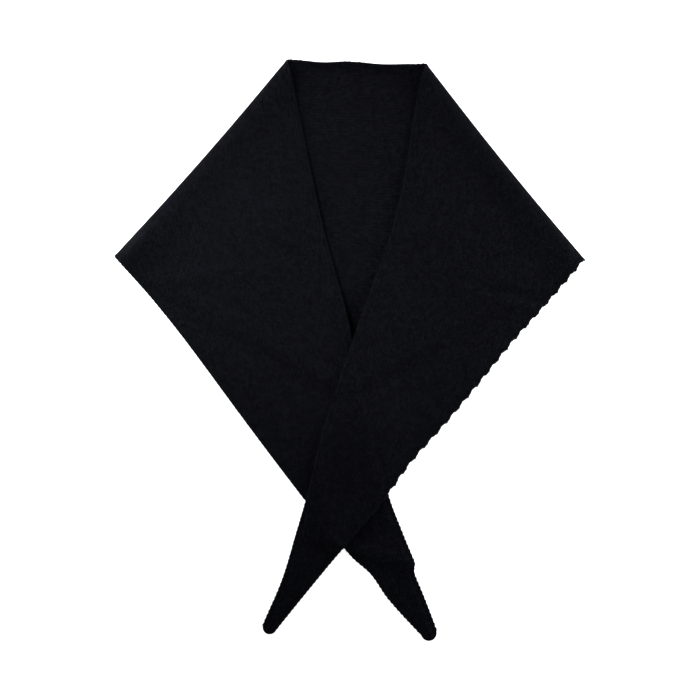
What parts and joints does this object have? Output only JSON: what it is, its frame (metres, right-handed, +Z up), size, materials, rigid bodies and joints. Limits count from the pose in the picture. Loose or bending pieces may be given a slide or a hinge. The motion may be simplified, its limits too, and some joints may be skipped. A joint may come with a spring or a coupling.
{
  "type": "neckerchief",
  "caption": "Triangular knitted neckerchief lying folded flat, its wings turned over the back panel, the tails crossed, with small scallops along a short edge.",
  "frame": {"origin": "centre of the folded outline, on the surface it lies on", "axes": "+X to the right as it lies, +Y from the tails to the neck edge, +Z up from the surface"},
  "size_m": [0.4986, 0.6184, 0.0091],
  "materials": {
    "knit": "fine knitted wool, matt, near black"
  },
  "bodies": {
    "root": {"knitted_triangle": "knit"}
  },
  "joints": []
}
